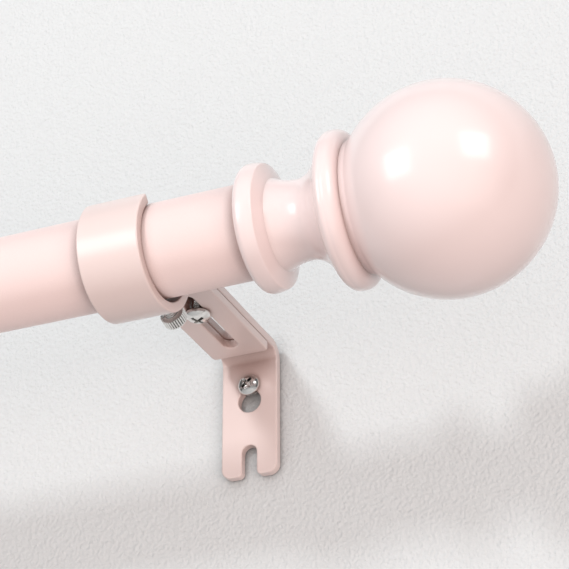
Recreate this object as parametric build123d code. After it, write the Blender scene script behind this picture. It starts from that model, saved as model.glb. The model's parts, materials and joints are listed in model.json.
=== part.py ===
from build123d import *
import os
from math import cos, pi, radians, sin, sqrt

# An extendable curtain rod on two adjustable wall brackets, with a ball finial at each end.
# Millimetres. +X runs along the rod to the right, +Y goes into the wall and +Z is up.
# The origin is on the back face of the right wall bracket, between its keyhole and its notch.

# Tubes, the bush that guides one in the other, and the gap left at the inner end when the rod is closed
tube_radius = 12.7
tube_wall = 0.8
tube_length = 650.0
inner_tube_wall = 0.8
inner_stand_out = 61.0
closed_gap = 42.2
bush_wall = 0.7
bush_length = 15.0
bush_lip = 1.2

# Steel strip that the wall brackets and the rod holders are bent from
strip_width = 17.6
strip_thickness = 2.8
strip_corner = 3.0

# Wall bracket, with heights from the origin and distances from the wall
leg_height = 23.3
leg_length = 52.8
leg_bend = 2.7
leg_slot_start = 14.5
leg_slot_margin = 4.0
plate_drop = 15.2
keyhole_height = 8.4
keyhole_rise = 5.0
notch_depth = 9.55
notch_mouth_radius = 1.5

# Rod holder, with angles from the wall side of the rod, up and round to the front
projection = 78.8
hook_end_angle = 133.5
hook_tip_corner = 1.2
arm_rise = 3.9
arm_from_wall = 8.9
arm_corner = 1.2
arm_slot_margin = 5.6
arm_slot_length = 34.3

# Clamp screw and nut that lock the holder's arm under the wall bracket's leg
clamp_from_wall = 38.8
clamp_radius = 2.0
clamp_head_radius = 3.6
clamp_head_height = 2.4
clamp_past_nut = 1.0
nut_across_flats = 7.0
nut_height = 3.2

# Wall screw, hung in the narrow end of the keyhole
wall_screw_radius = 1.9
wall_screw_length = 32.0
wall_screw_point = 6.0
wall_head_radius = 3.4
wall_head_height = 2.2

# Cross recess of both pan heads, and the share of their height that is rounded over
recess_width = 0.9
recess_depth = 1.2
recess_rim = 1.3
head_crown = 0.7

# Thumbscrew through the hook's wall side, pushing the rod forward
thumb_tilt = 14.0
thumb_radius = 2.0
thumb_shank = 10.7
thumb_head_radius = 3.45
thumb_head_length = 4.0
thumb_head_bevel = 0.5
knurl_count = 24
knurl_depth = 0.45

# Finial: a first collar, a neck that flares, a second collar and a ball, measured from the tube side
finial_from_bracket = 35.3
tube_in_finial = 3.0
collar_face_radius = 15.2
collar_radius = 17.1
collar_crown_at = 2.3
collar_rim = 5.5
collar_rim_radius = 16.5
collar_rim_round = 0.5
collar_slope = 1.6
neck_start_radius = 12.3
waist_from_collar = 6.4
waist_radius = 10.6
flare_from_waist = 5.2
flare_start_radius = 12.7
flare_length = 4.6
flare_end_radius = 19.4
ring_start_radius = 19.6
ring_radius = 20.75
ring_crown_at = 2.4
ring_length = 5.6
ring_end_radius = 18.5
crease_width = 0.3
crease_depth = 1.1
lip_length = 2.1
lip_end_radius = 18.46
ball_radius = 27.5

# Stud that screws the finial to the plug in the tube's end
stud_radius = 3.0
stud_in_finial = 14.0
stud_in_plug = 16.0
plug_length = 20.0
plug_lip = 1.2
plug_lip_inset = 0.2

# Clearances
slide_gap = 0.08
fit_gap = 0.05
stack_gap = 0.1
seat_gap = 0.3
cradle_gap = 0.8
screw_gap = 0.2
keyhole_gap = 0.3
keyhole_head_gap = 0.15
notch_gap = 0.4

# Sizes that follow from those above
tube_bore = tube_radius - tube_wall
bush_radius = tube_bore - fit_gap
bush_bore = bush_radius - bush_wall
inner_tube_radius = bush_bore - slide_gap
inner_tube_bore = inner_tube_radius - inner_tube_wall
inner_tube_length = inner_stand_out + bush_lip + tube_length - plug_length - closed_gap
cradle_radius = tube_radius + cradle_gap
hook_radius = cradle_radius + strip_thickness
bend_from_hook = cradle_radius + strip_thickness / 2 + arm_rise
arm_top = arm_rise + strip_thickness / 2
arm_underside = arm_rise - strip_thickness / 2
slot_width = 2 * (clamp_radius + screw_gap)
leg_slot_length = leg_length - leg_slot_start - leg_slot_margin
thumb_axis = Vector(0, cos(radians(thumb_tilt)), -sin(radians(thumb_tilt)))
socket_depth = tube_in_finial + plug_lip + stack_gap

# Places along the rod, from right to left
right_tube_end = finial_from_bracket + tube_in_finial
bush_mouth = right_tube_end - tube_length
left_tube_end = bush_mouth - bush_lip - inner_stand_out
left_bracket = left_tube_end + tube_in_finial + finial_from_bracket


def hook_offset(radius):
    """From the axis of a tube pushed against the hook's front to the hook's own centre."""
    return thumb_axis * (cradle_radius - radius - seat_gap)


# The right hook hangs from its wall bracket and sets the rod's height, and the left one follows the rod.
right_hook_height = leg_height - stack_gap - arm_top
rod = Vector(0, -projection, right_hook_height - hook_offset(tube_radius).Z)
right_hook = rod + hook_offset(tube_radius)
left_hook = rod + hook_offset(inner_tube_radius) + Vector(left_bracket, 0, 0)
arm_length = -right_hook.Y - arm_from_wall


def on_rod(x):
    """A place on the rod's axis, turned so that local Z runs along +X."""
    return Pos(x, rod.Y, rod.Z) * Rot(0, 90, 0)


def tube(radius, bore, length):
    """A plain tube along +Z."""
    return extrude(Circle(radius) - Circle(bore), length)


def polar(radius, angle):
    return (radius * cos(radians(angle)), radius * sin(radians(angle)))


def tube_end_bush():
    """A ring in the tube's mouth, with its lip against the tube's edge and its body along +Z."""
    body = tube(bush_radius, bush_bore, bush_length)
    lip = Pos(0, 0, -bush_lip) * tube(tube_radius, bush_bore, bush_lip)
    return body + lip


def end_plug(radius, bore):
    """A plug that fills a tube's end, with its lip on the tube's edge at z = 0 and its body along -Z."""
    stud_bore = stud_radius + slide_gap
    body = Pos(0, 0, -plug_length) * tube(bore - fit_gap, stud_bore, plug_length)
    lip = tube(radius - plug_lip_inset, stud_bore, plug_lip)
    return body + lip


def keyhole():
    """The head's way in and the narrow end above it, as the wall bracket's cut-out."""
    way_in = Pos(0, keyhole_height) * Circle(wall_head_radius + keyhole_head_gap)
    narrow = wall_screw_radius + keyhole_gap
    channel = Pos(0, keyhole_height + keyhole_rise / 2) * Rectangle(2 * narrow, keyhole_rise)
    top = Pos(0, keyhole_height + keyhole_rise) * Circle(narrow)
    return way_in + channel + top


def notch():
    """The round-topped slot that is open at the plate's bottom edge."""
    radius = wall_screw_radius + notch_gap
    straight = notch_depth - radius
    sides = Pos(0, -plate_drop + straight / 2) * Rectangle(2 * radius, straight)
    return sides + Pos(0, -plate_drop + straight) * Circle(radius)


def slot(length, from_wall):
    """A slot along Y for the clamp screw, its end nearest the wall at from_wall."""
    return Pos(0, -from_wall - length / 2) * SlotOverall(length, slot_width, rotation=90)


def wall_bracket():
    """A plate flat on the wall, bent over at its top into a slotted leg."""
    plate_height = plate_drop + leg_height - leg_bend
    plate = Pos(0, plate_height / 2 - plate_drop) * Rectangle(strip_width, plate_height)
    plate = fillet(plate.vertices().group_by(Axis.Y)[0], strip_corner)
    plate -= keyhole() + notch()
    mouth = plate.vertices().group_by(Axis.Y)[0].sort_by(lambda v: abs(v.X))[:2]
    plate = fillet(mouth, notch_mouth_radius)

    bend_end = strip_thickness + leg_bend
    leg_run = leg_length - bend_end
    leg = Pos(0, -bend_end - leg_run / 2) * Rectangle(strip_width, leg_run)
    leg = fillet(leg.vertices().group_by(Axis.Y)[0], strip_corner)
    leg -= slot(leg_slot_length, leg_slot_start)

    bend = Circle(leg_bend + strip_thickness) - Circle(leg_bend)
    bend &= Rectangle(bend_end, bend_end, align=Align.MIN)
    bend = Plane.YZ * Pos(-bend_end, leg_height - leg_bend) * bend
    return (
        extrude(Plane.XZ * plate, strip_thickness)
        + extrude(Pos(0, 0, leg_height) * leg, strip_thickness)
        + extrude(bend, strip_width / 2, both=True)
    )


def rod_holder():
    """An arm that turns down behind the rod and runs on as a hook under it and up its front.

    The local origin is the hook's centre.
    """
    wrap = 360 - hook_end_angle
    outline = make_face(
        [
            Line((arm_length, arm_top), (bend_from_hook, arm_top)),
            CenterArc((bend_from_hook, 0), arm_top, 90, 90),
            CenterArc((0, 0), cradle_radius, 0, -wrap),
            Line(polar(cradle_radius, hook_end_angle), polar(hook_radius, hook_end_angle)),
            CenterArc((0, 0), hook_radius, hook_end_angle, wrap),
            CenterArc((bend_from_hook, 0), arm_underside, 180, -90),
            Line((bend_from_hook, arm_underside), (arm_length, arm_underside)),
            Line((arm_length, arm_underside), (arm_length, arm_top)),
        ]
    )
    holder = extrude(Plane.YZ * outline, strip_width / 2, both=True)
    arm_end = holder.edges().filter_by(Axis.Z).group_by(Axis.Y)[-1]
    holder = fillet(arm_end, arm_corner)
    tip_y, tip_z = polar(cradle_radius + strip_thickness / 2, hook_end_angle)
    tip = holder.faces().sort_by_distance((0, tip_y, tip_z))[0]
    holder = fillet(tip.edges().filter_by(Axis.X, reverse=True), hook_tip_corner)
    slot_middle = arm_length - arm_slot_margin - arm_slot_length / 2
    arm_slot = Pos(0, slot_middle, arm_rise) * SlotOverall(arm_slot_length, slot_width, rotation=90)
    holder -= extrude(arm_slot, strip_thickness, both=True)
    thumb_hole = Plane(thumb_axis * cradle_radius, z_dir=thumb_axis) * Circle(thumb_radius + fit_gap)
    holder -= extrude(thumb_hole, strip_thickness * 2, both=True)
    return holder


def pan_head(radius, height):
    """A cross-recessed pan head that stands on z = 0."""
    head = extrude(Circle(radius), height)
    head = fillet(head.edges().sort_by(Axis.Z)[-1], height * head_crown)
    arm = 2 * (radius - recess_rim)
    cross = Rectangle(arm, recess_width) + Rectangle(recess_width, arm)
    return head - extrude(Pos(0, 0, height - recess_depth) * cross, recess_depth)


def clamp_screw():
    """Head down and shank up, with the head's seat at z = 0."""
    stack = 2 * (strip_thickness + stack_gap)
    shank = extrude(Circle(clamp_radius), stack + nut_height + clamp_past_nut)
    return Rot(180, 0, 0) * pan_head(clamp_head_radius, clamp_head_height) + shank


def clamp_nut():
    hexagon = RegularPolygon(nut_across_flats / 2, 6, major_radius=False)
    return extrude(hexagon - Circle(clamp_radius + fit_gap), nut_height)


def wall_screw():
    """Head along -Y and shank along +Y, with the head's seat at y = 0."""
    straight = wall_screw_length - wall_screw_point
    shank = extrude(Circle(wall_screw_radius), -straight)
    profile = Polygon((0, 0), (wall_screw_radius, 0), (0, -wall_screw_point), align=None)
    point = Pos(0, 0, -straight) * revolve(Plane.XZ * profile, Axis.Z)
    return Rot(90, 0, 0) * (pan_head(wall_head_radius, wall_head_height) + shank + point)


def thumbscrew():
    """A knurled head on a plain shank, with the shank's tip at z = 0 and the head along +Z."""
    step = pi / knurl_count
    radii = [thumb_head_radius, thumb_head_radius - knurl_depth] * knurl_count
    rim = [(r * cos(i * step), r * sin(i * step)) for i, r in enumerate(radii)]
    knurl = extrude(make_face(Polyline(*rim, close=True)), thumb_head_length)
    blank = extrude(Circle(thumb_head_radius), thumb_head_length)
    blank = chamfer(blank.edges(), thumb_head_bevel)
    shank = extrude(Circle(thumb_radius), thumb_shank)
    return shank + Pos(0, 0, thumb_shank) * (knurl & blank)


def swell(foot, crown):
    """A rounded quarter between a foot and a crown, each given as (distance, radius)."""
    middle = sqrt(0.5)
    x = crown[0] + (foot[0] - crown[0]) * middle
    r = foot[1] + (crown[1] - foot[1]) * middle
    return ThreePointArc(foot, (x, r), crown)


def finial(socket_radius):
    """A turned finial along +X, with its tube socket at x = 0."""
    collar_crown = (collar_crown_at, collar_radius)
    collar_edge = (collar_rim, collar_rim_radius)
    neck_start = (collar_rim + collar_slope, neck_start_radius)
    waist = (neck_start[0] + waist_from_collar, waist_radius)
    flare_start = (waist[0] + flare_from_waist, flare_start_radius)
    flare_end = (flare_start[0] + flare_length, flare_end_radius)
    ring_start = (flare_end[0], ring_start_radius)
    ring_crown = (ring_start[0] + ring_crown_at, ring_radius)
    ring_end = (ring_start[0] + ring_length, ring_end_radius)
    lip = (ring_end[0] + crease_width, ring_end_radius - crease_depth)
    ball_start = (lip[0] + lip_length, lip_end_radius)
    ball = ball_start[0] + sqrt(ball_radius**2 - lip_end_radius**2)
    waist_to_flare = TangentArc(waist, flare_start, tangent=(1, 0))
    profile = make_face(
        [
            Line((0, 0), (0, collar_face_radius)),
            swell((0, collar_face_radius), collar_crown),
            TangentArc(collar_crown, collar_edge, tangent=(1, 0)),
            Line(collar_edge, neck_start),
            TangentArc(waist, neck_start, tangent=(-1, 0)),
            waist_to_flare,
            TangentArc(flare_start, flare_end, tangent=waist_to_flare % 1),
            Line(flare_end, ring_start),
            swell(ring_start, ring_crown),
            swell(ring_end, ring_crown),
            Line(ring_end, lip),
            TangentArc(ball_start, lip, tangent=(-lip_end_radius, ball_start[0] - ball)),
            ThreePointArc(ball_start, (ball, ball_radius), (ball + ball_radius, 0)),
            Line((ball + ball_radius, 0), (0, 0)),
        ]
    )
    profile = fillet(profile.vertices().sort_by_distance(collar_edge)[0], collar_rim_round)
    socket = extrude(Plane.YZ * Circle(socket_radius), socket_depth)
    stud_hole = extrude(Plane.YZ * Circle(stud_radius + fit_gap), socket_depth + stud_in_finial + fit_gap)
    return revolve(profile, Axis.X) - socket - stud_hole


def finial_stud():
    """A stud along +X, placed from the finial's own start."""
    length = stud_in_plug + stud_in_finial
    return Pos(socket_depth - stud_in_plug, 0, 0) * extrude(Plane.YZ * Circle(stud_radius), length)


def bracket_set(side, hook, radius):
    """One bracket's pieces: bolted on the wall, hooked under the tube and screwed against it."""
    wall = Pos(hook.X, 0, hook.Z - right_hook.Z)
    arm = Pos(hook.X, 0, hook.Z)
    thumb_tip = rod + thumb_axis * (radius + stack_gap)
    thumb_plane = Plane((hook.X, thumb_tip.Y, thumb_tip.Z), x_dir=(1, 0, 0), z_dir=thumb_axis)
    return {
        f"{side}_wall_bracket": wall * wall_bracket(),
        f"{side}_rod_holder": Pos(hook) * rod_holder(),
        f"{side}_clamp_screw": arm * Pos(0, -clamp_from_wall, arm_underside - stack_gap) * clamp_screw(),
        f"{side}_clamp_nut": wall * Pos(0, -clamp_from_wall, leg_height + strip_thickness) * clamp_nut(),
        f"{side}_wall_screw": wall * Pos(0, -strip_thickness, keyhole_height + keyhole_rise) * wall_screw(),
        f"{side}_thumbscrew": thumb_plane * thumbscrew(),
    }


def end_set(side, tube_end, turn, radius, bore):
    """One rod end's pieces: the plug in the tube, and the finial with its stud."""
    start = on_rod(tube_end) * Rot(turn, 0, 0)
    finial_place = start * Pos(0, 0, -tube_in_finial) * Rot(0, -90, 0)
    return {
        f"{side}_end_plug": start * end_plug(radius, bore),
        f"{side}_finial": finial_place * finial(radius + fit_gap),
        f"{side}_finial_stud": finial_place * finial_stud(),
    }


nodes = {
    "outer_tube": on_rod(bush_mouth) * tube(tube_radius, tube_bore, tube_length),
    "inner_tube": on_rod(left_tube_end) * tube(inner_tube_radius, inner_tube_bore, inner_tube_length),
    "tube_end_bush": on_rod(bush_mouth) * tube_end_bush(),
}
nodes |= bracket_set("right", right_hook, tube_radius)
nodes |= bracket_set("left", left_hook, inner_tube_radius)
nodes |= end_set("right", right_tube_end, 0, tube_radius, tube_bore)
nodes |= end_set("left", left_tube_end, 180, inner_tube_radius, inner_tube_bore)

os.makedirs("parts", exist_ok=True)
for name, solid in nodes.items():
    export_step(solid, f"parts/{name}.step")
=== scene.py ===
import json
from collections import namedtuple
from math import acos, cos, pi, radians, sin, sqrt, tan, tau

import bmesh
import bpy
from bpy.props import FloatProperty, FloatVectorProperty, IntProperty, PointerProperty
from bpy.types import Operator, Panel, PropertyGroup
from mathutils import Matrix, Vector

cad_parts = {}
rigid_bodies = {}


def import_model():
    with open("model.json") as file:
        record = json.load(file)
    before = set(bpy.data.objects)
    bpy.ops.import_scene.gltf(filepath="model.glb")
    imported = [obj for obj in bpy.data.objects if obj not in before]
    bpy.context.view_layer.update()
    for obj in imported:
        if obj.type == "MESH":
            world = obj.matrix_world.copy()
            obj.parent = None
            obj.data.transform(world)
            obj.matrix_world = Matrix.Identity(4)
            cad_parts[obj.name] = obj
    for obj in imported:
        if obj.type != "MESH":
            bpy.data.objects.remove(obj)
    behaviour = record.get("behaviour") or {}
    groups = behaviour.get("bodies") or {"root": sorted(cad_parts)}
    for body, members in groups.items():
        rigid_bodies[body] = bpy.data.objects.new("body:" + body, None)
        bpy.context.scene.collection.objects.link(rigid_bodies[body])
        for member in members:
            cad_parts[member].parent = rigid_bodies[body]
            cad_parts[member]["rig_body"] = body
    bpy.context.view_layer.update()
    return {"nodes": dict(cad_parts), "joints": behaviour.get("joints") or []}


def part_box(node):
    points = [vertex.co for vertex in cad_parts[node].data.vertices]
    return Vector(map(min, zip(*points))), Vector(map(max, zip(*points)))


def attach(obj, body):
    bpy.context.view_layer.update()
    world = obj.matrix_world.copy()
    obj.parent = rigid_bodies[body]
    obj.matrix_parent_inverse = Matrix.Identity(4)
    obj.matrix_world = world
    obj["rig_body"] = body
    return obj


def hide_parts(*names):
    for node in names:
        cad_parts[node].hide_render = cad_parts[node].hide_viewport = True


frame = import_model()

bl_info = {
    "name": "Extendable Curtain Rod",
    "version": (1, 0, 0),
    "blender": (4, 5, 0),
    "location": "3D View > Sidebar > Curtain Rod",
    "description": "Dresses the frame of an extendable curtain rod in fine meshes, paint and plated metal",
    "category": "Object",
}

SIDES = ("right", "left")
PHOTO_SIDE = 569
SENSOR_WIDTH = 36.0

# Points closer than this count as one
TINY = 1e-7
# Between a tube and its socket, or a thread and its nut
FIT_GAP = 0.00005
# Depth of the threads as a share of their pitch
FINE_THREAD = 0.55
COARSE_THREAD = 0.3
# Reach of the cross recesses as a share of the head's radius
CLAMP_RECESS = 0.72
WALL_RECESS = 0.66


def length(words, value):
    """A length property in metres."""
    return FloatProperty(description=words, default=value, unit="LENGTH", precision=5)


def angle(words, degrees):
    """An angle property, given in degrees."""
    return FloatProperty(description=words, default=radians(degrees), subtype="ANGLE")


def tally(words, value):
    """A whole number property."""
    return IntProperty(description=words, default=value, min=1)


def power(words, watts):
    """A lamp's power property."""
    return FloatProperty(description=words, default=watts, unit="POWER")


def share(words, value):
    """A property between nought and one."""
    return FloatProperty(description=words, default=value, min=0, max=1, subtype="FACTOR")


def colour(words, value):
    """A colour property in linear values."""
    limits = {"size": 3, "min": 0, "max": 1}
    return FloatVectorProperty(description=words, default=value, subtype="COLOR", **limits)


class RodFinishes(PropertyGroup):
    """Colours and gloss of the rod's finishes"""

    tube_paint: colour("Powder coat on the tubes", (0.85, 0.66, 0.635))
    bracket_paint: colour("Powder coat on the strip pieces", (0.78, 0.62, 0.59))
    finial_paint: colour("Lacquer on the finials", (0.85, 0.685, 0.668))
    plating: colour("Nickel plating on the visible screws", (0.80, 0.79, 0.77))
    zinc: colour("Zinc plating on nuts and studs", (0.60, 0.60, 0.58))
    nylon: colour("Moulded bush and plugs", (0.80, 0.70, 0.66))
    paint_roughness: share("Roughness of the powder coat", 0.36)
    finial_roughness: share("Roughness of the finial lacquer", 0.36)


class StripSizes(PropertyGroup):
    """Bent steel strip of the wall brackets and rod holders"""

    thickness: length("Strip thickness", 0.0028)
    edge: length("Rounding of the punched and painted edges", 0.00045)
    corner: length("Corner radius of the strip's ends", 0.0030)
    slot_width: length("Width of the clamp slots", 0.0044)
    slot_start: length("From the wall to the nearer end of both slots", 0.0145)
    slot_length: length("Overall length of both slots", 0.0343)
    leg_bend: length("Inside radius where the plate turns into the leg", 0.0027)
    key_height: length("From the plate's bottom edge to the keyhole's wide end", 0.0236)
    key_rise: length("From the keyhole's wide end to its narrow end", 0.0050)
    key_radius: length("Radius of the keyhole's wide end", 0.00355)
    key_narrow: length("Radius of the keyhole's narrow end", 0.0022)
    notch_depth: length("Depth of the open notch", 0.00955)
    notch_radius: length("Half the notch's width", 0.0023)
    notch_mouth: length("Rounding at the notch's mouth", 0.0015)
    hook_radius: length("Outside radius of the hook", 0.0163)
    hook_end: angle("Angle where the hook ends", 133.5)
    arm_rise: length("Arm's middle above the hook's centre", 0.0039)
    arm_corner: length("Corner radius of the arm's end", 0.0012)
    tip_corner: length("Corner radius of the hook's tip", 0.0012)
    thumb_hole: length("Radius of the hole for the thumbscrew", 0.00205)


class FinialSizes(PropertyGroup):
    """Turned profile of the finials, along from the tube side"""

    face_radius: length("First collar's flat face on the tube side", 0.0152)
    collar_radius: length("Crown of the first collar", 0.0171)
    collar_crown: length("Where the first collar is widest", 0.0023)
    rim: length("Width of the first collar's rim", 0.0055)
    rim_radius: length("Radius at the rim's far edge", 0.0165)
    rim_round: length("Rounding of the rim's far edge", 0.0005)
    slope: length("Length of the slope from the rim to the neck", 0.0016)
    neck_start: length("Neck radius beside the first collar", 0.0123)
    waist_from_collar: length("From the neck's start to its waist", 0.0064)
    waist_radius: length("Narrowest radius of the neck", 0.0106)
    flare_from_waist: length("From the waist to the flare's start", 0.0052)
    flare_start: length("Radius where the flare starts", 0.0127)
    flare_length: length("Length of the flare", 0.0046)
    flare_end: length("Radius where the flare ends", 0.0194)
    ring_start: length("Radius where the second collar starts", 0.0196)
    ring_radius: length("Crown of the second collar", 0.02075)
    ring_crown: length("From the second collar's start to its crown", 0.0024)
    ring_length: length("Length of the second collar", 0.0056)
    ring_end: length("Radius at the end of the second collar", 0.0185)
    crease_width: length("Crease between the second collar and the ball", 0.0003)
    crease_depth: length("Depth of that crease", 0.0011)
    lip_length: length("Length of the ball's lip beside the crease", 0.0021)
    lip_end: length("Radius where the lip runs into the ball", 0.01846)
    ball_radius: length("Radius of the ball", 0.0275)
    socket_depth: length("Depth of the tube's socket", 0.0043)
    mouth_edge: length("Rounding of the socket's mouth", 0.0003)
    segments: tally("Faces around a finial", 160)


class ScrewSizes(PropertyGroup):
    """Screws, nuts and studs"""

    clamp_radius: length("Radius of the clamp screw's thread", 0.0020)
    clamp_head: length("Height of the clamp screw's head", 0.0024)
    wall_radius: length("Radius of the wall screw's thread", 0.0019)
    wall_head: length("Height of the wall screw's head", 0.0022)
    wall_point: length("Length of the wall screw's point", 0.0060)
    thumb_radius: length("Radius of the thumbscrew's thread", 0.0020)
    thumb_head_length: length("Length of the knurled head", 0.0040)
    thumb_head_radius: length("Radius over the knurl", 0.00345)
    knurl_depth: length("Depth of the straight knurl", 0.00040)
    knurl_count: tally("Ridges round the thumbscrew's head", 28)
    fine_pitch: length("Pitch of the machine threads", 0.0007)
    coarse_pitch: length("Pitch of the wall screw's thread", 0.0016)
    recess_width: length("Width of the cross recess's arms", 0.0009)
    recess_depth: length("Depth of the cross recess", 0.0012)


class StageSettings(PropertyGroup):
    """Backdrop, lights and camera"""

    wall: colour("Colour of the backdrop", (0.500, 0.491, 0.492))
    # Painted shade: the backdrop's colour close behind and around the plates, standing for their contact
    # shadow.
    hollow: colour("Colour of the backdrop close behind the plates", (0.20, 0.19, 0.185))
    glow: colour("Evenness added to the backdrop where it is seen", (0.21, 0.21, 0.21))
    plaster: share("Strength of the wall's fine plaster grain", 0.8)
    daylight: colour("Colour of the two lights from above", (0.885, 0.975, 1.0))
    warmth: colour("Colour of the two lights from below", (1.0, 0.83, 0.75))
    front_power: power("Power of the broad front light", 26.5)
    main_power: power("Power of the high front light", 13.4)
    low_power: power("Power of the low right light", 15.5)
    fill_power: power("Power of the broad light from below", 9.0)
    key_power: power("Power of the left softbox", 4.2)
    side_power: power("Power of the right softbox", 4.0)
    ambient: share("Strength of the surrounding light", 0.40)
    dim: share("Strength of the surroundings as mirrored in gloss", 0.12)
    camera_place: FloatVectorProperty(
        description="Place of the camera",
        default=(0.20408, -0.46520, -0.22534),
        subtype="XYZ",
    )
    camera_turn: FloatVectorProperty(
        description="Turn about the vertical, tilt up and roll",
        default=(radians(22.619), radians(28.342), radians(0.319)),
        subtype="EULER",
    )
    focal_pixels: FloatProperty(description="Focal length in photo pixels", default=1888.7, subtype="PIXEL")


# Mesh helpers


def arc_through(start, middle, end, steps=14):
    """Points on the circle through three (along, radius) points."""
    ax, ay = start
    bx, by = middle
    cx, cy = end
    d = 2 * (ax * (by - cy) + bx * (cy - ay) + cx * (ay - by))
    a2, b2, c2 = ax * ax + ay * ay, bx * bx + by * by, cx * cx + cy * cy
    centre = Vector(
        (
            (a2 * (by - cy) + b2 * (cy - ay) + c2 * (ay - by)) / d,
            (a2 * (cx - bx) + b2 * (ax - cx) + c2 * (bx - ax)) / d,
        )
    )
    first, second, third = (Vector(point) - centre for point in (start, middle, end))
    turn = first.angle_signed(second) + second.angle_signed(third)
    points = []
    for i in range(steps + 1):
        spin = Matrix.Rotation(-turn * i / steps, 2)
        points.append(tuple(centre + spin @ first))
    return points


def swell(foot, crown):
    """A rounded quarter from a foot to a crown, each given as (along, radius)."""
    middle = sqrt(0.5)
    x = crown[0] + (foot[0] - crown[0]) * middle
    r = foot[1] + (crown[1] - foot[1]) * middle
    return arc_through(foot, (x, r), crown)


def tangent_arc(start, heading, end, steps=14):
    """Points of the arc that leaves start along heading and reaches end, and the heading there."""
    way, chord = Vector(heading).normalized(), Vector(end) - Vector(start)
    half = -way.angle_signed(chord)
    centre_side = Vector((-way.y, way.x))
    radius = chord.length / (2 * sin(half))
    points = []
    for i in range(steps + 1):
        turn = 2 * half * i / steps
        ahead = way * radius * sin(turn)
        aside = centre_side * radius * (1 - cos(turn))
        points.append(tuple(Vector(start) + ahead + aside))
    return points, way * cos(2 * half) + centre_side * sin(2 * half)


def rounded(path, end, radius, steps=6):
    """A path run on to an end, with the corner between them rounded off."""
    corner = Vector(path[-1])
    back = (Vector(path[-2]) - corner).normalized()
    on = (Vector(end) - corner).normalized()
    reach_back = radius * tan((pi - back.angle(on)) / 2)
    first, last = corner + back * reach_back, corner + on * reach_back
    kept = [p for p in path[:-1] if (Vector(p) - corner).length > reach_back]
    bulge = (back + on).normalized()
    middle = corner + bulge * (radius / cos((pi - back.angle(on)) / 2) - radius)
    return kept + arc_through(tuple(first), tuple(middle), tuple(last), steps) + [end]


def ring(bm, z, radii):
    """A ring of vertices about Z at a height, with a radius for each step round it."""
    spots = []
    for k, radius in enumerate(radii):
        around = tau * k / len(radii)
        spots.append(bm.verts.new((radius * cos(around), radius * sin(around), z)))
    return spots


def lathe(bm, profile, segments, closed=False):
    """Turns a profile of (along, radius) points about Z into bm, with a pole where the radius is nought."""
    rings = []
    for along, radius in profile:
        if radius < TINY:
            rings.append([bm.verts.new((0, 0, along))])
        else:
            rings.append(ring(bm, along, [radius] * segments))
    bridge(bm, rings, closed)


def bridge(bm, rings, closed=False):
    """Joins rings of vertices, one after another, with faces."""
    pairs = list(zip(rings, rings[1:]))
    if closed:
        pairs.append((rings[-1], rings[0]))
    for low, high in pairs:
        count = max(len(low), len(high))
        for k in range(count):
            n = (k + 1) % count
            corners = [low[k % len(low)], low[n % len(low)], high[n % len(high)], high[k % len(high)]]
            unique = list(dict.fromkeys(corners))
            if len(unique) > 2:
                bm.faces.new(unique)


def linked(name, data):
    """A new object in the scene."""
    made = bpy.data.objects.new(name, data)
    bpy.context.scene.collection.objects.link(made)
    return made


def mesh_object(bm, name):
    """A smooth-shaded object made from bm."""
    mesh = bpy.data.meshes.new(name)
    bm.to_mesh(mesh)
    bm.free()
    mesh.polygons.foreach_set("use_smooth", [True] * len(mesh.polygons))
    return linked(name, mesh)


def piece_from(bm, name, place, crease=30):
    """An object made from bm with its doubles merged and its creases sharp, put in place in the row frame."""
    bmesh.ops.remove_doubles(bm, verts=bm.verts, dist=TINY)
    bmesh.ops.recalc_face_normals(bm, faces=bm.faces)
    piece = mesh_object(bm, name)
    piece.data.transform(place)
    piece.data.set_sharp_from_angle(angle=radians(crease))
    return piece


def fit(bm, prefix, node, place, material, crease):
    """A fine piece that stands for its CAD node, on the node's body, with the node hidden."""
    piece = piece_from(bm, f"{prefix}_{node}", place, crease)
    piece.data.materials.append(bpy.data.materials[material])
    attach(piece, frame["nodes"][node]["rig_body"])
    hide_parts(node)
    return piece


def middle_of(node):
    """The middle of a CAD node's box."""
    low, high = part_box(node)
    return (low + high) / 2


def reach(node, origin, direction):
    """Nearest and furthest reach of a CAD node from a point, along a direction."""
    spans = [(v.co - origin).dot(direction) for v in frame["nodes"][node].data.vertices]
    return min(spans), max(spans)


def facing(origin, direction):
    """A place at origin whose Z runs along a direction."""
    return Matrix.Translation(origin) @ Vector(direction).to_track_quat("Z", "Y").to_matrix().to_4x4()


def rod_axis():
    """A point on the rod's axis."""
    return middle_of("outer_tube")


def on_rod(node, way):
    """A node's start on the rod's axis, turned so that Z runs along the rod, one way or the other."""
    low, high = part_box(node)
    start = rod_axis()
    start.x = low.x if way > 0 else high.x
    return facing(start, (way, 0, 0))


def radius_of(node):
    """The radius of a round node that lies along the rod."""
    low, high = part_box(node)
    return (high.z - low.z) / 2


# Node groups and materials

FINISH_OUTPUTS = {"Colour": (1, 1, 1, 1), "Roughness": 0.5, "Height": 0.0}


def node_group(name, inputs, outputs):
    """A new shader node group with sockets for colours or plain values, and its two end nodes."""
    group = bpy.data.node_groups.new(name, "ShaderNodeTree")
    for direction, sockets in (("INPUT", inputs), ("OUTPUT", outputs)):
        for label, value in sockets.items():
            kind = "NodeSocketFloat" if isinstance(value, float) else "NodeSocketColor"
            socket = group.interface.new_socket(label, in_out=direction, socket_type=kind)
            socket.default_value = value
    return group, group.nodes.new("NodeGroupInput"), group.nodes.new("NodeGroupOutput")


def feed(tree, node, inputs):
    """Links a node's inputs from sockets, or sets them where a constant is given."""
    for label, source in inputs.items():
        if isinstance(source, bpy.types.NodeSocket):
            tree.links.new(source, node.inputs[label])
        else:
            node.inputs[label].default_value = source


def add(tree, kind, inputs=None, **settings):
    """A new node with its settings and its inputs."""
    node = tree.nodes.new(kind)
    for key, value in settings.items():
        setattr(node, key, value)
    feed(tree, node, inputs or {})
    return node


def noise(tree, vector, scale, detail):
    """A noise texture's value."""
    node = add(tree, "ShaderNodeTexNoise", {"Vector": vector, "Scale": scale, "Detail": detail})
    return node.outputs["Fac"]


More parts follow.
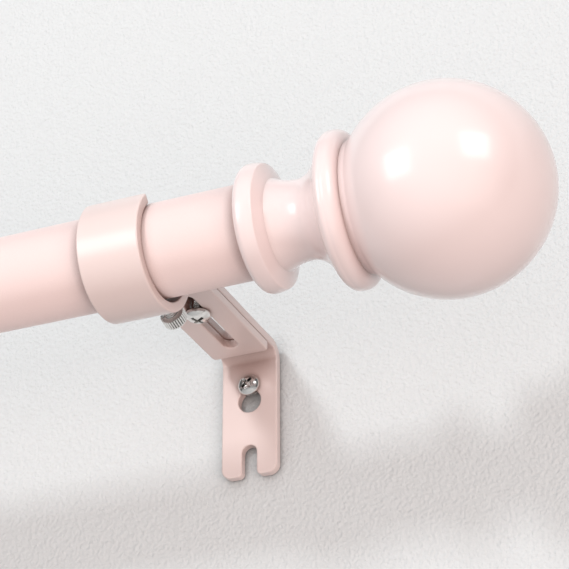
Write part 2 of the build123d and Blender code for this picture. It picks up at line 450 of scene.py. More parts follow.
def spread(tree, value, low, high):
    """Maps nought to one onto low to high."""
    node = add(tree, "ShaderNodeMapRange", {"Value": value, "To Min": low, "To Max": high})
    return node.outputs["Result"]


def blend(tree, factor, first, second, kind="MIX"):
    """A blend of two colours."""
    inputs = {"Factor": factor, "A": first, "B": second}
    node = add(tree, "ShaderNodeMix", inputs, data_type="RGBA", blend_type=kind)
    return node.outputs["Result"]


def maths(tree, operation, first, second):
    """One operation on two values."""
    return add(tree, "ShaderNodeMath", {0: first, 1: second}, operation=operation).outputs["Value"]


def painted_shade_group():
    """Painted shade mask: one on open surfaces, falling to nought deep in gaps, slots and creases, where
    shade is painted.
    """
    group, start, end = node_group("Painted shade mask", {"Reach": 0.003}, {"Openness": 1.0})
    hollow = add(group, "ShaderNodeAmbientOcclusion", {"Distance": start.outputs["Reach"]}, samples=4)
    limits = {"Value": hollow.outputs["AO"], "From Min": 0.15, "From Max": 0.90}
    clear = add(group, "ShaderNodeMapRange", limits)
    feed(group, end, {"Openness": clear.outputs["Result"]})
    return group


def openness(tree, shade_mask, distance):
    """The openness of the surface, with gaps and creases looked for up to a distance; it sets where shade is
    painted.
    """
    return add(tree, "ShaderNodeGroup", {"Reach": distance}, node_tree=shade_mask).outputs["Openness"]


def coat_group(shade_mask):
    """Powder coat: a faint orange peel, a slow drift of tone, uneven gloss and painted shade in gaps, slots
    and creases.
    """
    group, start, end = node_group(
        "Sprayed coat",
        {
            "Colour": (0.8, 0.7, 0.65, 1),
            "Roughness": 0.35,
            "Peel size": 900.0,
            "Unevenness": 0.05,
            "Hollow colour": (0.22, 0.10, 0.075, 1),
            "Hollow reach": 0.004,
        },
        FINISH_OUTPUTS,
    )
    given = start.outputs
    place = add(group, "ShaderNodeTexCoord").outputs["Object"]
    drift = noise(group, place, 22.0, 3.0)
    drifting = {
        "Color": given["Colour"],
        "Value": spread(group, drift, 0.985, 1.015),
        "Saturation": spread(group, drift, 1.03, 0.97),
    }
    tone = add(group, "ShaderNodeHueSaturation", drifting).outputs["Color"]
    clear = openness(group, shade_mask, given["Hollow reach"])
    least = maths(group, "SUBTRACT", given["Roughness"], given["Unevenness"])
    most = maths(group, "ADD", given["Roughness"], given["Unevenness"])
    result = {
        # Painted shade: the colour runs to the shade colour where the surface is closed in by gaps and
        # creases.
        "Colour": blend(group, clear, given["Hollow colour"], tone),
        "Roughness": spread(group, noise(group, place, 140.0, 4.0), least, most),
        "Height": noise(group, place, given["Peel size"], 2.0),
    }
    feed(group, end, result)
    return group


def metal_group(shade_mask):
    """Plated metal: fine rubbed scratches, cloudy tarnish and painted shade in grooves and recesses."""
    group, start, end = node_group(
        "Rubbed plating",
        {"Colour": (0.7, 0.7, 0.68, 1), "Roughness": 0.2, "Tarnish": 0.2},
        FINISH_OUTPUTS,
    )
    given = start.outputs
    place = add(group, "ShaderNodeTexCoord").outputs["Object"]
    drawn_out = {"Vector": place, "Scale": (1.0, 0.12, 1.0), "Rotation": (0.3, 0.5, 0.7)}
    stretch = add(group, "ShaderNodeMapping", drawn_out)
    scratch = noise(group, stretch.outputs["Vector"], 5200.0, 3.0)
    cloud = spread(group, noise(group, place, 620.0, 4.0), 0.45, 1.0)
    grey = add(group, "ShaderNodeCombineColor", {"Red": cloud, "Green": cloud, "Blue": cloud})
    dull = blend(group, given["Tarnish"], given["Colour"], grey.outputs["Color"], "MULTIPLY")
    roughest = maths(group, "ADD", given["Roughness"], 0.14)
    result = {
        # Painted shade: a near-black colour in the knurl grooves and the cross recesses.
        "Colour": blend(group, openness(group, shade_mask, 0.0008), (0.10, 0.095, 0.09, 1), dull),
        "Roughness": spread(group, scratch, given["Roughness"], roughest),
        "Height": scratch,
    }
    feed(group, end, result)
    return group


def surfaced(name, group, look, relief, shader):
    """A Principled material fed by a finish group, with a relief and the shader's own settings."""
    if name in bpy.data.materials:
        raise ValueError(f"there is a material named {name} already")
    material = bpy.data.materials.new(name)
    material.use_nodes = True
    tree = material.node_tree
    layer = add(tree, "ShaderNodeGroup", look, node_tree=group).outputs
    strength, depth = relief
    bump = {"Strength": strength, "Distance": depth, "Height": layer["Height"]}
    ripple = add(tree, "ShaderNodeBump", bump)
    surface = {
        "Base Color": layer["Colour"],
        "Roughness": layer["Roughness"],
        "Normal": ripple.outputs["Normal"],
    }
    feed(tree, tree.nodes["Principled BSDF"], surface | shader)


def make_materials(finishes):
    """Every finish of the rod, built once and found by name later."""
    shade_mask = painted_shade_group()
    coat, metal = coat_group(shade_mask), metal_group(shade_mask)

    look = {"Colour": (*finishes.tube_paint, 1), "Roughness": finishes.paint_roughness}
    surfaced("coated_tube", coat, look, (0.05, 0.0002), {"Coat Weight": 1.0, "Coat Roughness": 0.36})

    look = {"Colour": (*finishes.bracket_paint, 1), "Roughness": finishes.paint_roughness}
    look |= {"Peel size": 1200.0, "Hollow reach": 0.009}
    surfaced("coated_strip", coat, look, (0.05, 0.0002), {"Coat Weight": 0.6, "Coat Roughness": 0.25})

    look = {"Colour": (*finishes.finial_paint, 1), "Roughness": finishes.finial_roughness}
    look |= {"Unevenness": 0.03, "Hollow reach": 0.0016}
    surfaced("finial_lacquer", coat, look, (0.02, 0.0002), {"Coat Weight": 1.0, "Coat Roughness": 0.18})

    look = {"Colour": (*finishes.plating, 1), "Roughness": 0.14}
    surfaced("nickel_plate", metal, look, (0.05, 0.0001), {"Metallic": 1.0})

    look = {"Colour": (*finishes.zinc, 1), "Roughness": 0.30, "Tarnish": 0.35}
    surfaced("zinc_plate", metal, look, (0.08, 0.0001), {"Metallic": 1.0})

    look = {"Colour": (*finishes.nylon, 1), "Roughness": 0.45, "Peel size": 2500.0}
    surfaced("moulded_nylon", coat, look, (0.10, 0.0002), {"Subsurface Weight": 0.1})


# Bent strip


def arc_points(centre, radius, start, sweep, steps=10):
    """Points of a flat arc."""
    angles = [start + sweep * i / steps for i in range(steps + 1)]
    return [(centre[0] + radius * cos(a), centre[1] + radius * sin(a)) for a in angles]


def slot_outline(near, long, width):
    """A round-ended slot along the strip, from its near end."""
    radius = width / 2
    first = arc_points((near + radius, 0), radius, pi / 2, pi)
    return first + arc_points((near + long - radius, 0), radius, -pi / 2, pi)


def round_outline(centre, radius, points=32):
    """A round hole on the strip's middle line."""
    return arc_points((centre, 0), radius, 0, tau * (points - 1) / points, points - 1)


def keyhole_outline(centre, rise, radius, narrow):
    """A wide hole that runs into a narrow round end further along the strip."""
    meet = acos(sqrt(1 - (narrow / radius) ** 2))
    wide = arc_points((centre, 0), radius, meet, tau - 2 * meet, 24)
    return wide + arc_points((centre + rise, 0), narrow, -pi / 2, pi)


def flipped(stretch):
    """A stretch of outline on the strip's other side, run backwards."""
    return [(x, -y) for x, y in reversed(stretch)]


def far_end(long, half, corner):
    """The rounded far end of a strip's outline."""
    upper = arc_points((long - corner, half - corner), corner, pi / 2, -pi / 2)
    return upper + flipped(upper)


def plain_outline(long, half, near_corner, far_corner):
    """A strip's outline with a corner radius at each end."""
    upper = arc_points((near_corner, half - near_corner), near_corner, pi, -pi / 2)
    return flipped(upper) + upper + far_end(long, half, far_corner)


def notched_outline(long, half, corner, notch, radius, mouth):
    """A strip's outline with rounded corners and an open round-topped notch at its start."""
    upper = arc_points((corner, half - corner), corner, pi, -pi / 2)
    lip = arc_points((mouth, radius + mouth), mouth, -pi / 2, -pi / 2)
    top = arc_points((notch - radius, 0), radius, -pi / 2, pi)
    return upper + far_end(long, half, corner) + flipped(upper) + flipped(lip) + top + lip


def evaluated(source):
    """An object's finished mesh, as a bmesh."""
    bpy.context.view_layer.update()
    mesh = bpy.data.meshes.new_from_object(source.evaluated_get(bpy.context.evaluated_depsgraph_get()))
    bm = bmesh.new()
    bm.from_mesh(mesh)
    bpy.data.meshes.remove(mesh)
    return bm


def strip_blank(outlines, thickness, edge):
    """A flat punched blank with rounded edges, along X, as a bmesh."""
    flat = bpy.data.curves.new("strip_blank", "CURVE")
    flat.dimensions = "2D"
    flat.fill_mode = "BOTH"
    flat.extrude = thickness / 2 - edge
    flat.bevel_depth = edge
    flat.bevel_resolution = 2
    flat.offset = -edge
    for outline in outlines:
        spline = flat.splines.new("POLY")
        spline.points.add(len(outline) - 1)
        spline.use_cyclic_u = True
        for point, (x, y) in zip(spline.points, outline):
            point.co = (x, y, 0, 1)
    holder = linked("strip_blank", flat)
    bm = evaluated(holder)
    bpy.data.objects.remove(holder)
    bpy.data.curves.remove(flat)
    bmesh.ops.remove_doubles(bm, verts=bm.verts, dist=TINY)
    return bm


# A straight or curved run of a bent strip: where it starts and heads, how long it is and how it turns
Run = namedtuple("Run", "along span place way size turn")


def bend_strip(bm, start, heading, shape, across, step=radians(4)):
    """Bends a flat blank to a shape of (length, 0) and (radius, turn), in the plane of Y and Z."""
    runs = []
    along = 0.0
    place, way = Vector(start), heading
    for size, turn in shape:
        span = abs(size * turn) if turn else size
        runs.append(Run(along, span, place.copy(), way, size, turn))
        if turn:
            cuts = max(2, int(abs(turn) / step))
            for i in range(cuts + 1):
                cut_across(bm, along + span * i / cuts)
        place, way, _ = on_run(runs[-1], span)
        along += span
    for vert in bm.verts:
        u, x, w = vert.co
        run = next((r for r in runs if u <= r.along + r.span + TINY), runs[-1])
        spot, _, left = on_run(run, u - run.along)
        spot = spot + left * w
        vert.co = (across + x, spot[0], spot[1])


def on_run(run, distance):
    """Place, heading and left-hand side at a distance along one run."""
    left = Vector((-sin(run.way), cos(run.way)))
    if not run.turn:
        ahead = Vector((cos(run.way), sin(run.way)))
        return run.place + ahead * distance, run.way, left
    hand = 1 if run.turn > 0 else -1
    centre = run.place + left * run.size * hand
    swung = run.way + hand * distance / run.size
    side = Vector((-sin(swung), cos(swung)))
    return centre - side * run.size * hand, swung, side


def cut_across(bm, along):
    """Cuts the flat blank across at a distance along it."""
    everything = bm.verts[:] + bm.edges[:] + bm.faces[:]
    bmesh.ops.bisect_plane(bm, geom=everything, dist=TINY, plane_co=(along, 0, 0), plane_no=(1, 0, 0))


def crisp(piece):
    """Keeps the flats flat beside their rounded edges."""
    weighted = piece.modifiers.new("flats", "WEIGHTED_NORMAL")
    weighted.keep_sharp = True
    weighted.weight = 80


# Screw threads


def thread_rings(bm, radius, pitch, depth, start, end, taper=0.0, segments=40, per_turn=8):
    """Rings of a helical thread from start to end along Z, drawn to a point over taper."""
    rows = max(2, int((end - start) / pitch * per_turn))
    rings = []
    for i in range(rows + 1):
        z = start + (end - start) * i / rows
        full = min(1.0, (end - z) / taper) if taper else 1.0
        cut = depth * min(1.0, (z - start) / pitch, 1.0 if taper else (end - z) / pitch)
        phases = [(z / pitch - k / segments) % 1.0 for k in range(segments)]
        radii = [(radius - cut * abs(2 * phase - 1)) * max(full, 0.02) for phase in phases]
        rings.append(ring(bm, z, radii))
    bridge(bm, rings)
    bm.faces.new(rings[0])
    bm.faces.new(rings[-1])


def pan_profile(radius, height, edge=0.00025):
    """A pan head that stands on 0, as a profile for the lathe."""
    shoulder = (height * 0.38, radius)
    bulge = (height * 0.86, radius * 0.70)
    return [(0, 0), (0, radius - edge), (edge, radius)] + arc_through(shoulder, bulge, (height, 0))


def cross_cutter(arm, width, floor, top):
    """A tapered cross as an object that cuts the recess."""
    bm = bmesh.new()
    for turn in (0, pi / 2):
        made = bmesh.ops.create_cube(bm, size=1.0)["verts"]
        for vert in made:
            wide = vert.co.z > 0
            vert.co.x *= 2 * arm if wide else arm * 1.1
            vert.co.y *= width * 1.15 if wide else width * 0.7
            vert.co.z = top if wide else floor
        bmesh.ops.rotate(bm, verts=made, matrix=Matrix.Rotation(turn, 3, "Z"))
    return mesh_object(bm, "cross_cutter")


def recessed_head(radius, height, arm, turn, sizes):
    """A pan head with a turned cross recess, hung from its seat at z = 0, as a bmesh."""
    bm = bmesh.new()
    lathe(bm, pan_profile(radius, height), segments=72)
    head = piece_from(bm, "pan_head", Matrix.Identity(4))
    cutter = cross_cutter(arm, sizes.recess_width, height - sizes.recess_depth, height * 1.2)
    cut = head.modifiers.new("recess", "BOOLEAN")
    cut.object = cutter
    cut.solver = "EXACT"
    cut.use_self = True
    hung = evaluated(head)
    for scrap in (head, cutter):
        bpy.data.objects.remove(scrap)
    bmesh.ops.rotate(hung, verts=hung.verts, matrix=Matrix.Rotation(turn, 3, "Z"))
    bmesh.ops.rotate(hung, verts=hung.verts, matrix=Matrix.Rotation(pi, 3, "X"))
    return hung


# Operators


class ROD_OT_finishes(Operator):
    """Make the paints, lacquer, plating and nylon"""

    bl_idname = "curtain_rod.finishes"
    bl_label = "Make finishes"

    def execute(self, context):
        make_materials(context.scene.rod_finishes)
        return {"FINISHED"}


class ROD_OT_tubes(Operator):
    """Make the outer and inner tubes with rolled rims"""

    bl_idname = "curtain_rod.tubes"
    bl_label = "Make tubes"

    rim: length("Rounding of the tubes' cut rims", 0.00025)
    wall: length("Wall of both tubes", 0.0008)

    def execute(self, context):
        for node in ("outer_tube", "inner_tube"):
            low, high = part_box(node)
            radius = radius_of(node)
            long = high.x - low.x
            bore = radius - self.wall
            profile = [
                (self.rim, radius), (long - self.rim, radius), (long, radius - self.rim),
                (long, bore + self.rim), (long - self.rim, bore), (self.rim, bore),
                (0, bore + self.rim), (0, radius - self.rim),
            ]
            bm = bmesh.new()
            lathe(bm, profile, segments=144, closed=True)
            fit(bm, "fine", node, on_rod(node, 1), "coated_tube", crease=50)
        return {"FINISHED"}


class ROD_OT_brackets(Operator):
    """Punch and bend the two wall brackets"""

    bl_idname = "curtain_rod.brackets"
    bl_label = "Make wall brackets"

    def execute(self, context):
        strip = context.scene.rod_strip
        for side in SIDES:
            node = f"{side}_wall_bracket"
            low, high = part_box(node)
            half = (high.x - low.x) / 2
            middle_bend = strip.leg_bend + strip.thickness / 2
            bend_span = middle_bend * pi / 2
            plate = high.z - low.z - strip.thickness - strip.leg_bend
            leg = high.y - low.y - strip.thickness - strip.leg_bend
            # Where the wall's face would lie along the flat blank, measured back from the leg
            wall = plate + bend_span - strip.thickness - strip.leg_bend
            outline = notched_outline(
                plate + bend_span + leg,
                half,
                strip.corner,
                strip.notch_depth,
                strip.notch_radius,
                strip.notch_mouth,
            )
            keyhole = keyhole_outline(strip.key_height, strip.key_rise, strip.key_radius, strip.key_narrow)
            slot = slot_outline(wall + strip.slot_start, strip.slot_length, strip.slot_width)
            bm = strip_blank([outline, keyhole, slot], strip.thickness, strip.edge)
            shape = [(plate, 0), (middle_bend, pi / 2), (leg, 0)]
            bend_strip(bm, (high.y - strip.thickness / 2, low.z), pi / 2, shape, (low.x + high.x) / 2)
            crisp(fit(bm, "bent", node, Matrix.Identity(4), "coated_strip", crease=40))
        return {"FINISHED"}


class ROD_OT_holders(Operator):
    """Punch and bend the two rod holders, arm and hook in one strip"""

    bl_idname = "curtain_rod.holders"
    bl_label = "Make rod holders"

    def execute(self, context):
        strip = context.scene.rod_strip
        for side in SIDES:
            node = f"{side}_rod_holder"
            low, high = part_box(node)
            half = (high.x - low.x) / 2
            middle_hook = strip.hook_radius - strip.thickness / 2
            centre = Vector((low.y + strip.hook_radius, low.z + strip.hook_radius))
            arm = high.y - centre[0] - middle_hook - strip.arm_rise
            wrap = tau - strip.hook_end
            hook_start = arm + strip.arm_rise * pi / 2
            long = hook_start + middle_hook * wrap
            outline = plain_outline(long, half, strip.arm_corner, strip.tip_corner)
            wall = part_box(f"{side}_wall_bracket")[1].y
            slot = slot_outline(strip.slot_start - (wall - high.y), strip.slot_length, strip.slot_width)
            thumb = round_outline(hook_start + middle_hook * thumb_tilt(side), strip.thumb_hole)
            bm = strip_blank([outline, slot, thumb], strip.thickness, strip.edge)
            shape = [(arm, 0), (strip.arm_rise, pi / 2), (middle_hook, -wrap)]
            bend_strip(bm, (high.y, centre[1] + strip.arm_rise), pi, shape, (low.x + high.x) / 2)
            crisp(fit(bm, "bent", node, Matrix.Identity(4), "coated_strip", crease=40))
        return {"FINISHED"}


def thumb_direction(side):
    """The way a thumbscrew backs out, from its joint."""
    for joint in frame["joints"]:
        if joint["name"] == f"{side}_thumb_travel":
            return Vector(joint["axis"])
    raise ValueError(f"no thumbscrew joint on the {side}")


def thumb_tilt(side):
    """How far a thumbscrew points below level."""
    way = thumb_direction(side)
    return acos(way.y / way.length)


class ROD_OT_finials(Operator):
    """Turn the two finials: collar, neck, second collar and ball"""

    bl_idname = "curtain_rod.finials"
    bl_label = "Make finials"

    def execute(self, context):
        sizes = context.scene.rod_finial
        for side, way, tube in (("right", 1, "outer_tube"), ("left", -1, "inner_tube")):
            node = f"{side}_finial"
            bm = bmesh.new()
            lathe(bm, finial_profile(sizes, radius_of(tube) + FIT_GAP), sizes.segments)
            fit(bm, "turned", node, on_rod(node, way), "finial_lacquer", crease=38)
        return {"FINISHED"}


def finial_profile(sizes, socket):
    """The finial's section as (along, radius) points, from its socket to the ball's end."""
    crown = (sizes.collar_crown, sizes.collar_radius)
    rim = (sizes.rim, sizes.rim_radius)
    neck = (sizes.rim + sizes.slope, sizes.neck_start)
    waist = (neck[0] + sizes.waist_from_collar, sizes.waist_radius)
    flare = (waist[0] + sizes.flare_from_waist, sizes.flare_start)
    flare_end = (flare[0] + sizes.flare_length, sizes.flare_end)
    ring_foot = (flare_end[0], sizes.ring_start)
    ring_crown = (ring_foot[0] + sizes.ring_crown, sizes.ring_radius)
    ring_end = (ring_foot[0] + sizes.ring_length, sizes.ring_end)
    lip = (ring_end[0] + sizes.crease_width, sizes.ring_end - sizes.crease_depth)
    ball_start = (lip[0] + sizes.lip_length, sizes.lip_end)
    ball = ball_start[0] + sqrt(sizes.ball_radius**2 - sizes.lip_end**2)
    edge = sizes.mouth_edge
    to_flare, heading = tangent_arc(waist, (1, 0), flare)
    lip_arc, _ = tangent_arc(ball_start, (-sizes.lip_end, ball_start[0] - ball), lip, steps=10)
    rim_arc, _ = tangent_arc(crown, (1, 0), rim, steps=10)
    return (
        [(sizes.socket_depth, 0), (sizes.socket_depth, socket), (edge, socket), (0, socket + edge)]
        + swell((0, sizes.face_radius), crown)
        + rounded(rim_arc[1:], neck, sizes.rim_round)
        + tangent_arc(waist, (-1, 0), neck)[0][::-1]
        + to_flare[1:]
        + tangent_arc(flare, heading, flare_end)[0][1:]
        + swell(ring_foot, ring_crown)
        + swell(ring_end, ring_crown)[-2::-1]
        + lip_arc[::-1]
        + arc_through(ball_start, (ball, sizes.ball_radius), (ball + sizes.ball_radius, 0), steps=72)[1:]
    )


class ROD_OT_clamps(Operator):
    """Make the clamp screws and their nuts"""

    bl_idname = "curtain_rod.clamps"
    bl_label = "Make clamp screws and nuts"

    recess_turn: angle("Turn of the cross recess", 28)

    def execute(self, context):
        sizes = context.scene.rod_screws
        for side in SIDES:
            node = f"{side}_clamp_screw"
            low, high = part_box(node)
            head = (high.x - low.x) / 2
            bm = recessed_head(head, sizes.clamp_head, head * CLAMP_RECESS, self.recess_turn, sizes)
            depth = sizes.fine_pitch * FINE_THREAD
            shank = high.z - low.z - sizes.clamp_head
            thread_rings(bm, sizes.clamp_radius, sizes.fine_pitch, depth, -depth, shank)
            seat = middle_of(node)
            seat.z = low.z + sizes.clamp_head
            fit(bm, "cut", node, Matrix.Translation(seat), "nickel_plate", crease=35)
            self.nut(f"{side}_clamp_nut", sizes)
        return {"FINISHED"}

    def nut(self, node, sizes, segments=72):
        """A hexagon nut with chamfered corners."""
        low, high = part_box(node)
        flats = (high.y - low.y) / 2
        corner = flats / cos(pi / 6)
        tall = high.z - low.z
        bore = sizes.clamp_radius + FIT_GAP
        face = flats * 0.97
        chamfer = (corner - flats) * 0.58
        sides = [tau * k / segments for k in range(segments)]
        hexagon = [flats / cos((around + pi / 6) % (pi / 3) - pi / 6) for around in sides]
        section = [
            (0, bore), (0, face), (chamfer, corner), (tall - chamfer, corner), (tall, face), (tall, bore),
        ]
        bm = bmesh.new()
        rings = [ring(bm, z, [min(limit, side) for side in hexagon]) for z, limit in section]
        bridge(bm, rings, closed=True)
        seat = middle_of(node)
        seat.z = low.z
        place = Matrix.Translation(seat) @ Matrix.Rotation(pi / 6, 4, "Z")
        fit(bm, "cut", node, place, "zinc_plate", crease=25)


class ROD_OT_wall_screws(Operator):
    """Make the wall screws, hung in the keyholes"""

    bl_idname = "curtain_rod.wall_screws"
    bl_label = "Make wall screws"

    recess_turn: angle("Turn of the cross recess", 40)

    def execute(self, context):
        sizes = context.scene.rod_screws
        for side in SIDES:
            node = f"{side}_wall_screw"
            low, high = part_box(node)
            head = (high.x - low.x) / 2
            bm = recessed_head(head, sizes.wall_head, head * WALL_RECESS, self.recess_turn, sizes)
            depth = sizes.coarse_pitch * COARSE_THREAD
            shank = high.y - low.y - sizes.wall_head
            thread_rings(bm, sizes.wall_radius, sizes.coarse_pitch, depth, -depth, shank, sizes.wall_point)
            seat = middle_of(node)
            seat.y = low.y + sizes.wall_head
            fit(bm, "cut", node, facing(seat, (0, 1, 0)), "nickel_plate", crease=35)
        return {"FINISHED"}


class ROD_OT_thumbscrews(Operator):
    """Make the knurled thumbscrews"""

    bl_idname = "curtain_rod.thumbscrews"
    bl_label = "Make thumbscrews"

    bevel: length("Bevel at both ends of the knurl", 0.0005)
    dish: length("Depth of the dished end", 0.0003)

    def execute(self, context):
        sizes = context.scene.rod_screws
        for side in SIDES:
            node = f"{side}_thumbscrew"
            way = thumb_direction(side).normalized()
            on_axis = rod_axis()
            on_axis.x = middle_of(node).x
            tip, end = reach(node, on_axis, way)
            long = end - tip
            bm = bmesh.new()
            depth = sizes.fine_pitch * FINE_THREAD
            shank = long - sizes.thumb_head_length
            thread_rings(bm, sizes.thumb_radius, sizes.fine_pitch, depth, 0, shank + depth)
            self.knurled_head(bm, sizes, shank, long)
            fit(bm, "knurled", node, facing(on_axis + way * tip, way), "nickel_plate", crease=28)
        return {"FINISHED"}

    def knurled_head(self, bm, sizes, start, end, per_ridge=6):
        """The head's rings, ridged round the rim and smooth on both faces, with a dished end."""
        outer = sizes.thumb_head_radius
        flat = outer - self.bevel - sizes.knurl_depth
        inner_face = [(start, 0.0), (start, flat * 0.86), (start + self.dish, flat)]
        rim = [(start + self.bevel, outer), (end - self.bevel, outer)]
        outer_face = [(end - self.dish * 0.3, flat), (end, flat * 0.9)]
        well = [(end - self.dish, flat * 0.8), (end - self.dish, 0.0)]
        steps = [(k % per_ridge) / per_ridge for k in range(sizes.knurl_count * per_ridge)]
        grooves = [sizes.knurl_depth * abs(2 * step - 1) ** 1.5 for step in steps]
        rings = []
        for z, radius in inner_face + rim + outer_face + well:
            if radius == 0:
                rings.append([bm.verts.new((0, 0, z))])
            elif radius == outer:
                rings.append(ring(bm, z, [radius - groove for groove in grooves]))
            else:
                rings.append(ring(bm, z, [radius] * len(grooves)))
        bridge(bm, rings)


class ROD_OT_inner_pieces(Operator):
    """Make the bush, the end plugs and the studs that are mostly out of sight"""

    bl_idname = "curtain_rod.inner_pieces"
    bl_label = "Make bush, plugs and studs"

    edge: length("Rounding of the moulded edges", 0.0003)
    stud_pitch: length("Pitch of the finial studs", 0.0010)

    def execute(self, context):
        for node in ("tube_end_bush", "right_end_plug", "left_end_plug"):
            self.soften(node)
        for side, way in (("right", 1), ("left", -1)):
            node = f"{side}_finial_stud"
            low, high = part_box(node)
            bm = bmesh.new()
            depth = self.stud_pitch * FINE_THREAD
            thread_rings(bm, radius_of(node), self.stud_pitch, depth, 0, high.x - low.x)
            fit(bm, "cut", node, on_rod(node, way), "zinc_plate", crease=35)
        return {"FINISHED"}

    def soften(self, node):
        """Gives a moulded CAD piece its nylon and softly rounded edges."""
        piece = frame["nodes"][node]
        piece.data.materials.clear()
        piece.data.materials.append(bpy.data.materials["moulded_nylon"])
        rounding = piece.modifiers.new("soft edges", "BEVEL")
        rounding.width = self.edge
        rounding.segments = 2
        rounding.limit_method = "ANGLE"
        rounding.angle_limit = radians(50)


# Which way a lamp lies from the rod, how far off it is and how wide
Lamp = namedtuple("Lamp", "way distance size")
LAMPS = {
    "main_light": Lamp((-0.29, -0.84, 0.47), 1.6, 0.22),
    "front_light": Lamp((0.15, -0.95, 0.25), 2.2, 3.0),
    "low_light": Lamp((0.76, -0.53, -0.40), 1.8, 1.2),
    "fill_light": Lamp((-0.05, -0.86, -0.50), 2.0, 2.0),
    "left_softbox": Lamp((-0.50, -0.86, 0.11), 1.3, 0.58),
    "right_softbox": Lamp((0.71, -0.65, 0.27), 1.3, 0.58),
}


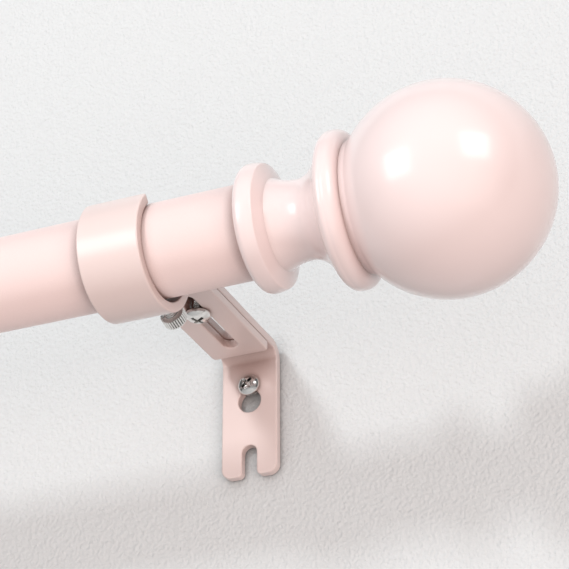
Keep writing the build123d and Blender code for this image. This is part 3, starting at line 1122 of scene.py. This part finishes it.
class ROD_OT_stage(Operator):
    """Make the wall, the floor, the lights and the camera"""

    bl_idname = "curtain_rod.stage"
    bl_label = "Make stage"

    wall_half: length("Half the backdrop's width", 4.0)
    wall_top: length("Height of the backdrop's top edge", 3.0)
    wall_gap: length("From the plates back to the backdrop", 0.0003)
    floor_drop: length("From the rod down to the floor", 1.1)
    floor_front: length("From the wall to the floor's front edge", 8.0)
    cove: length("Radius of the sweep from wall to floor", 0.3)
    lit_place: length("Where along the rod the lamps aim", 0.05)

    def execute(self, context):
        scene = context.scene
        stage = scene.rod_stage
        self.backdrop(stage)
        self.softbox("main_light", stage.main_power, stage.daylight)
        self.softbox("front_light", stage.front_power, stage.daylight)
        self.softbox("low_light", stage.low_power, stage.warmth)
        self.softbox("fill_light", stage.fill_power, stage.warmth)
        self.mirrored("left_softbox", stage.key_power)
        self.mirrored("right_softbox", stage.side_power)
        self.surroundings(scene, stage)
        self.camera(scene, stage)
        scene.view_settings.view_transform = "Standard"
        return {"FINISHED"}

    def backdrop(self, stage):
        """A pale wall that sweeps into a pale floor, seen only from its front."""
        floor = rod_axis().z - self.floor_drop
        sweep = arc_points((self.wall_gap - self.cove, floor + self.cove), self.cove, 0, -pi / 2, 16)
        section = [(self.wall_gap, self.wall_top), *sweep, (-self.floor_front, floor)]
        bm = bmesh.new()
        left = [bm.verts.new((-self.wall_half, y, z)) for y, z in section]
        right = [bm.verts.new((self.wall_half, y, z)) for y, z in section]
        for i in range(len(section) - 1):
            bm.faces.new((left[i], left[i + 1], right[i + 1], right[i]))
        wall = mesh_object(bm, "backdrop")
        wall.data.materials.append(self.wall_paint(stage))
        wall.visible_diffuse = False
        wall.visible_shadow = False

    def wall_paint(self, stage):
        """Matt white plaster that can be seen through from behind, with painted contact shade around the
        pieces.
        """
        material = bpy.data.materials.new("wall_paint")
        material.use_nodes = True
        # The glow is weak and only for the eye, so the wall isn't sampled as a lamp
        material.cycles.emission_sampling = "NONE"
        tree = material.node_tree
        paths = add(tree, "ShaderNodeLightPath").outputs
        direct = maths(tree, "ADD", paths["Is Camera Ray"], paths["Is Glossy Ray"])
        clear = openness(tree, bpy.data.node_groups["Painted shade mask"], 0.006)
        place = add(tree, "ShaderNodeTexCoord").outputs["Object"]
        grain = {"Height": noise(tree, place, 900.0, 2.0), "Strength": stage.plaster, "Distance": 0.001}
        # Painted shade: the plaster's colour and its glow both darken where the pieces close the wall in.
        plaster = {
            "Base Color": blend(tree, clear, (*stage.hollow, 1), (*stage.wall, 1)),
            "Emission Color": blend(tree, clear, (0, 0, 0, 1), (*stage.glow, 1)),
            "Emission Strength": maths(tree, "ADD", direct, paths["Is Transmission Ray"]),
            "Normal": add(tree, "ShaderNodeBump", grain).outputs["Normal"],
            "Roughness": 0.9,
            "Specular IOR Level": 0.1,
        }
        shader = tree.nodes["Principled BSDF"]
        feed(tree, shader, plaster)
        behind = add(tree, "ShaderNodeNewGeometry").outputs["Backfacing"]
        nothing = add(tree, "ShaderNodeBsdfTransparent").outputs["BSDF"]
        either = add(tree, "ShaderNodeMixShader", {0: behind, 1: shader.outputs["BSDF"], 2: nothing})
        feed(tree, tree.nodes["Material Output"], {"Surface": either.outputs["Shader"]})
        return material

    def area(self, name, watts):
        """A square lamp that looks at the rod."""
        plan = LAMPS[name]
        light = bpy.data.lights.new(name, "AREA")
        light.shape = "SQUARE"
        light.size = plan.size
        light.energy = watts
        lamp = linked(name, light)
        target = rod_axis()
        target.x = self.lit_place
        away = Vector(plan.way).normalized()
        lamp.location = target + away * plan.distance
        lamp.rotation_mode = "QUATERNION"
        lamp.rotation_quaternion = away.to_track_quat("Z", "Y")
        return lamp

    def softbox(self, name, watts, tint):
        """A lamp that lights surfaces and leaves no mirror image in the gloss."""
        lamp = self.area(name, watts)
        lamp.data.color = tint
        lamp.visible_glossy = False

    def mirrored(self, name, watts):
        """A lamp that is only mirrored in the gloss."""
        lamp = self.area(name, watts)
        lamp.visible_diffuse = False

    def surroundings(self, scene, stage):
        """Even white light from all round, dimmer where it is mirrored."""
        world = bpy.data.worlds.new("surroundings")
        world.use_nodes = True
        tree = world.node_tree
        mirrored = add(tree, "ShaderNodeLightPath").outputs["Is Glossy Ray"]
        level = add(tree, "ShaderNodeMix", {"Factor": mirrored, "A": stage.ambient, "B": stage.dim})
        sky = {"Color": (1, 1, 1, 1), "Strength": level.outputs["Result"]}
        feed(tree, tree.nodes["Background"], sky)
        scene.world = world

    def camera(self, scene, stage):
        """The photograph's view."""
        lens = bpy.data.cameras.new("camera")
        lens.sensor_width = SENSOR_WIDTH
        lens.sensor_fit = "HORIZONTAL"
        lens.lens = stage.focal_pixels * SENSOR_WIDTH / PHOTO_SIDE
        lens.clip_start = 0.01
        viewer = linked("camera", lens)
        turn, tilt, roll = stage.camera_turn
        pose = Matrix.Rotation(turn, 4, "Z") @ Matrix.Rotation(tilt, 4, "X") @ Matrix.Rotation(roll, 4, "Y")
        level = Matrix.Rotation(pi / 2, 4, "X")
        viewer.matrix_world = Matrix.Translation(stage.camera_place) @ pose @ level
        scene.camera = viewer


OPERATORS = (
    ROD_OT_finishes,
    ROD_OT_tubes,
    ROD_OT_brackets,
    ROD_OT_holders,
    ROD_OT_finials,
    ROD_OT_clamps,
    ROD_OT_wall_screws,
    ROD_OT_thumbscrews,
    ROD_OT_inner_pieces,
    ROD_OT_stage,
)
SETTINGS = {
    "rod_finishes": RodFinishes,
    "rod_strip": StripSizes,
    "rod_finial": FinialSizes,
    "rod_screws": ScrewSizes,
    "rod_stage": StageSettings,
}


class ROD_PT_sidebar(Panel):
    """Lists the rod's pieces and their sizes"""

    bl_idname = "ROD_PT_sidebar"
    bl_label = "Curtain Rod"
    bl_space_type = "VIEW_3D"
    bl_region_type = "UI"
    bl_category = "Curtain Rod"

    def draw(self, context):
        for operator in OPERATORS:
            self.layout.operator(operator.bl_idname)
        for name in SETTINGS:
            group = getattr(context.scene, name)
            box = self.layout.box()
            for key in group.__annotations__:
                box.prop(group, key)


def name_properties(kind):
    """Labels a class's properties with their own names."""
    for name, made in kind.__annotations__.items():
        made.keywords["name"] = name.replace("_", " ").capitalize()


def register():
    for kind in (*SETTINGS.values(), *OPERATORS, ROD_PT_sidebar):
        name_properties(kind)
        bpy.utils.register_class(kind)
    for name, kind in SETTINGS.items():
        setattr(bpy.types.Scene, name, PointerProperty(type=kind))


def unregister():
    for name in SETTINGS:
        delattr(bpy.types.Scene, name)
    for kind in reversed((*SETTINGS.values(), *OPERATORS, ROD_PT_sidebar)):
        bpy.utils.unregister_class(kind)


def main():
    register()
    for operator in OPERATORS:
        section, action = operator.bl_idname.split(".")
        getattr(getattr(bpy.ops, section), action)()


if __name__ == "__main__":
    main()
